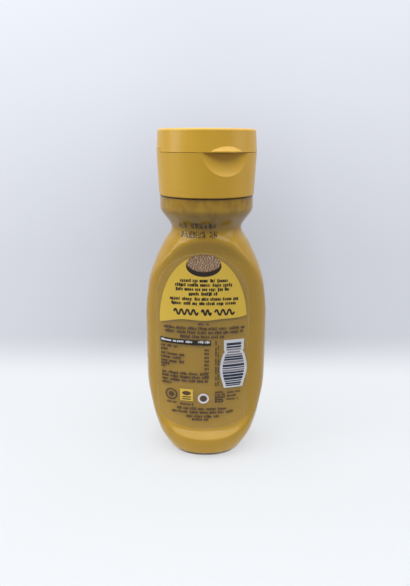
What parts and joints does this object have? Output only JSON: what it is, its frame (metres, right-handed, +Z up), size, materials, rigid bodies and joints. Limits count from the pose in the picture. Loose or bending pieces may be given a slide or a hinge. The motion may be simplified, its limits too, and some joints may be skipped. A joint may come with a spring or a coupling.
{
  "type": "filled squeeze bottle with flip-top cap",
  "caption": "Clear oval squeeze bottle filled with mustard, arched front and back labels, yellow flip-top closure with a thumb lip.",
  "frame": {"origin": "on the floor, under the middle of the base", "axes": "+Z up along the bottle, -Y towards the printed information side, +X along the wide side of the body"},
  "size_m": [0.0666, 0.051, 0.177],
  "materials": {
    "clear_bottle": "clear blown plastic, glossy",
    "mustard": "smooth wet paste",
    "label_film": "printed clear film",
    "yellow_closure": "moulded, satin"
  },
  "bodies": {
    "bottle_body": {"bottle": "clear_bottle", "mustard": "mustard", "label_info": "label_film", "label_face": "label_film", "cap_base": "yellow_closure"},
    "lid": {"cap_lid": "yellow_closure"}
  },
  "joints": [
    {"name": "lid_hinge", "type": "hinge", "parent": "bottle_body", "child": "lid", "pos_m": [-0.00934, 0.02254, 0.1678], "axis": [-0.9239, -0.3827, 0], "range_deg": [0, 135]}
  ]
}
